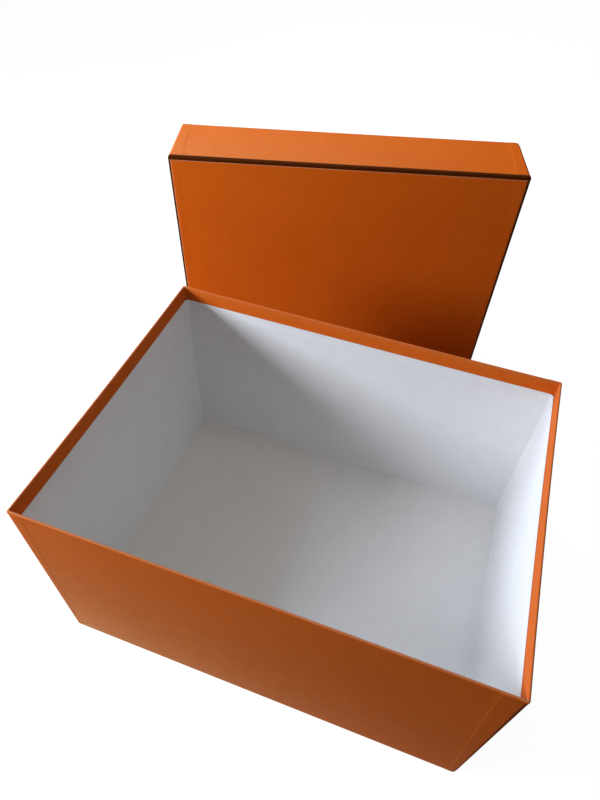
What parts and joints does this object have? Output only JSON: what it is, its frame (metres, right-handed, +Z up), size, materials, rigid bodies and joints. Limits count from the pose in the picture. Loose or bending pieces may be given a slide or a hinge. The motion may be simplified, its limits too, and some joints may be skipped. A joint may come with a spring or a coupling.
{
  "type": "gift box",
  "caption": "Rigid paper-covered gift box: an open base with a white lining, and a lift-off lid with a dark edge band, standing behind it.",
  "frame": {"origin": "centre of the base's underside, on the floor", "axes": "+X to the base's right side, +Y to its back, where the lid stands, +Z up out of the open base"},
  "size_m": [0.5113, 0.6295, 0.322],
  "materials": {
    "greyboard": "matte grey board",
    "stay_tape": "matte kraft tape",
    "orange_paper": "matte, fine grain",
    "brown_paper": "matte",
    "white_paper": "smooth matte"
  },
  "bodies": {
    "base": {"base_bottom_board": "greyboard", "base_front_board": "greyboard", "base_back_board": "greyboard", "base_left_board": "greyboard", "base_right_board": "greyboard", "base_corner_stays": "stay_tape", "base_front_sheet": "orange_paper", "base_back_sheet": "orange_paper", "base_left_sheet": "orange_paper", "base_right_sheet": "orange_paper", "base_bottom_sheet": "orange_paper", "base_front_lining": "white_paper", "base_back_lining": "white_paper", "base_left_lining": "white_paper", "base_right_lining": "white_paper", "base_floor_lining": "white_paper"},
    "lid": {"lid_top_board": "greyboard", "lid_front_board": "greyboard", "lid_back_board": "greyboard", "lid_left_board": "greyboard", "lid_right_board": "greyboard", "lid_corner_stays": "stay_tape", "lid_front_sheet": "orange_paper", "lid_back_sheet": "orange_paper", "lid_left_sheet": "orange_paper", "lid_right_sheet": "orange_paper", "lid_top_sheet": "orange_paper", "lid_front_band": "brown_paper", "lid_back_band": "brown_paper", "lid_left_band": "brown_paper", "lid_right_band": "brown_paper", "lid_front_lining": "white_paper", "lid_back_lining": "white_paper", "lid_left_lining": "white_paper", "lid_right_lining": "white_paper", "lid_top_lining": "white_paper"}
  },
  "joints": [
    {"name": "lid_lift", "type": "slide", "parent": "base", "child": "lid", "axis": [0, 0, 1], "range_m": [0, 0.28]}
  ]
}
